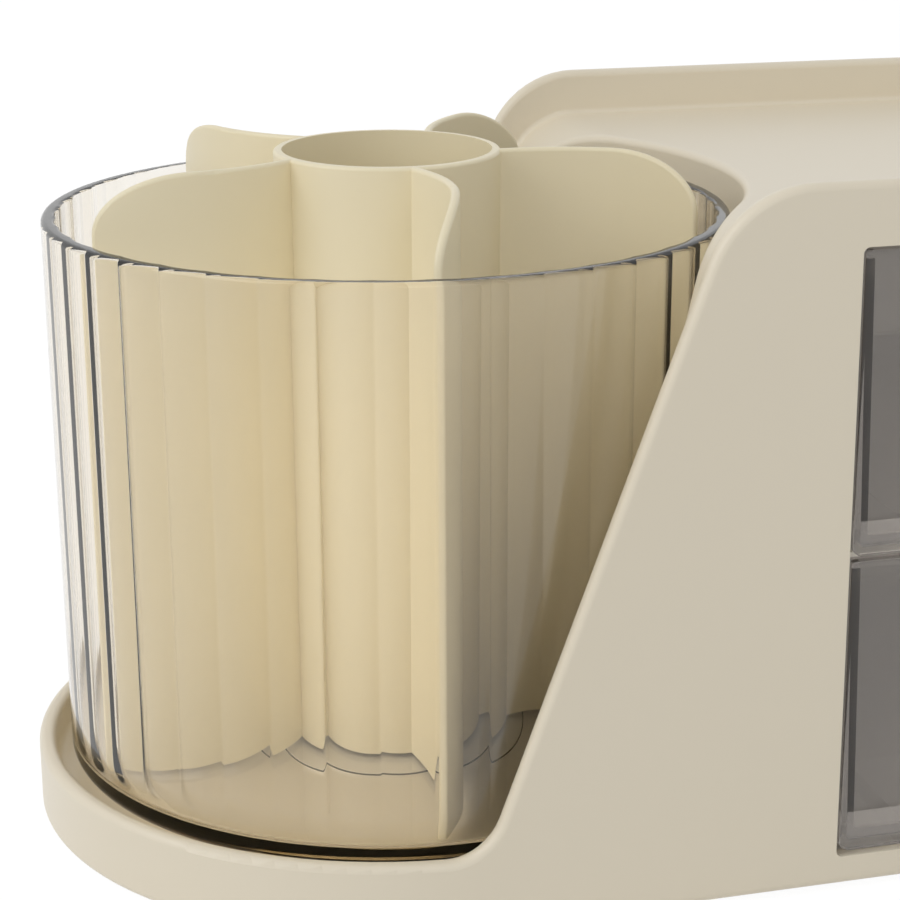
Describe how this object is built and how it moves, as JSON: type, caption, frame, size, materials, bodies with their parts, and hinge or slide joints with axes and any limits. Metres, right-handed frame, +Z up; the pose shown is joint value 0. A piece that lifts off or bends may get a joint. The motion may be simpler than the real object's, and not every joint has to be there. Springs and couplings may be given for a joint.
{
  "type": "desk organizer with drawers and rotating pen cup",
  "caption": "Desk organizer: a rotating clear fluted pen cup with a lift-out divider beside stacked clear drawers under an open rimmed top tray.",
  "frame": {"origin": "under the middle of the whole organizer, on the plane its feet stand on", "axes": "+X along the length from the pen cup to the drawers' far end, -Y out of the drawer fronts, +Z up"},
  "size_m": [0.226, 0.113, 0.1064],
  "materials": {
    "cream_shell": "satin moulded",
    "cream_inner": "plain moulded",
    "clear_smoke": "clear polished plastic, faint smoky tint",
    "slip_white": "slippery waxy",
    "steel": "zinc plated",
    "rubber_foot": "matte"
  },
  "bodies": {
    "base": {"housing": "cream_shell", "bottom_plate": "cream_inner", "bottom_screws": "steel", "drawer_cage": "cream_inner", "thrust_ring": "slip_white", "foot_front_right": "rubber_foot", "foot_back_right": "rubber_foot", "foot_front_middle": "rubber_foot", "foot_back_middle": "rubber_foot", "foot_tray_front": "rubber_foot", "foot_tray_back": "rubber_foot"},
    "rotor": {"turntable": "cream_inner", "retaining_washer": "steel", "pivot_screw": "steel", "cup": "clear_smoke"},
    "insert": {"divider": "cream_shell"},
    "upper": {"upper_drawer": "clear_smoke"},
    "lower": {"lower_drawer": "clear_smoke"}
  },
  "joints": [
    {"name": "cup_turn", "type": "hinge", "parent": "base", "child": "rotor", "pos_m": [-0.0565, 0, 0], "axis": [0, 0, 1], "continuous": true},
    {"name": "divider_lift", "type": "slide", "parent": "rotor", "child": "insert", "axis": [0, 0, 1], "range_m": [0, 0.1]},
    {"name": "upper_drawer_slide", "type": "slide", "parent": "base", "child": "upper", "axis": [0, -1, 0], "range_m": [0, 0.085]},
    {"name": "lower_drawer_slide", "type": "slide", "parent": "base", "child": "lower", "axis": [0, -1, 0], "range_m": [0, 0.085]}
  ]
}
